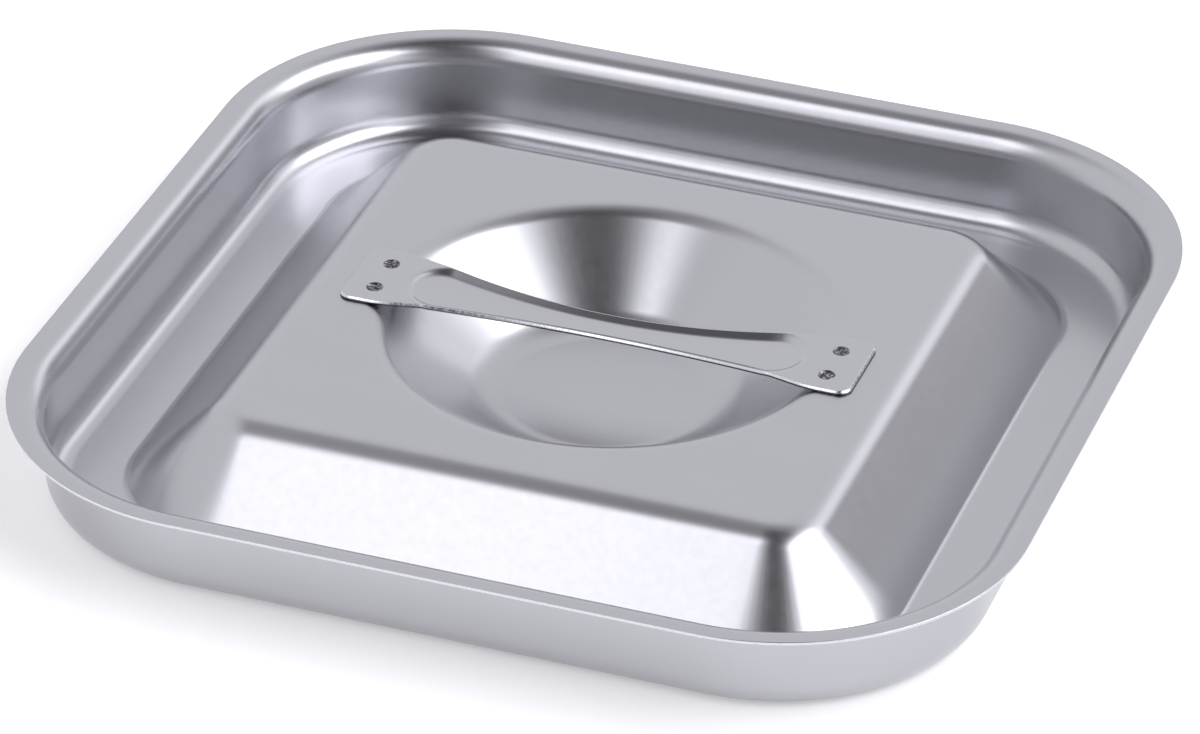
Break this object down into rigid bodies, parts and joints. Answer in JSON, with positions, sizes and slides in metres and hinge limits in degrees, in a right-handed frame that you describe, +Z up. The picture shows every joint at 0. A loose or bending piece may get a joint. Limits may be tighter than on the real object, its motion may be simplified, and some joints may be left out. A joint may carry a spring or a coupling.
{
  "type": "pressed steel tray",
  "caption": "Square pressed stainless tray with a flat rim, a channel round a raised block, and a welded strap handle across a round dish.",
  "frame": {"origin": "centre of the face that the tray rests on", "axes": "+Z up, X along the strap handle, -Y to the front"},
  "size_m": [0.3, 0.3, 0.03],
  "materials": {
    "satin_sheet": "satin, fine grain",
    "satin_strap": "satin, bright sheared edges",
    "weld_steel": "darker, pitted weld mark"
  },
  "bodies": {
    "root": {"tray_shell": "satin_sheet", "strap_handle": "satin_strap", "weld_left_front": "weld_steel", "weld_left_rear": "weld_steel", "weld_right_front": "weld_steel", "weld_right_rear": "weld_steel"}
  },
  "joints": []
}
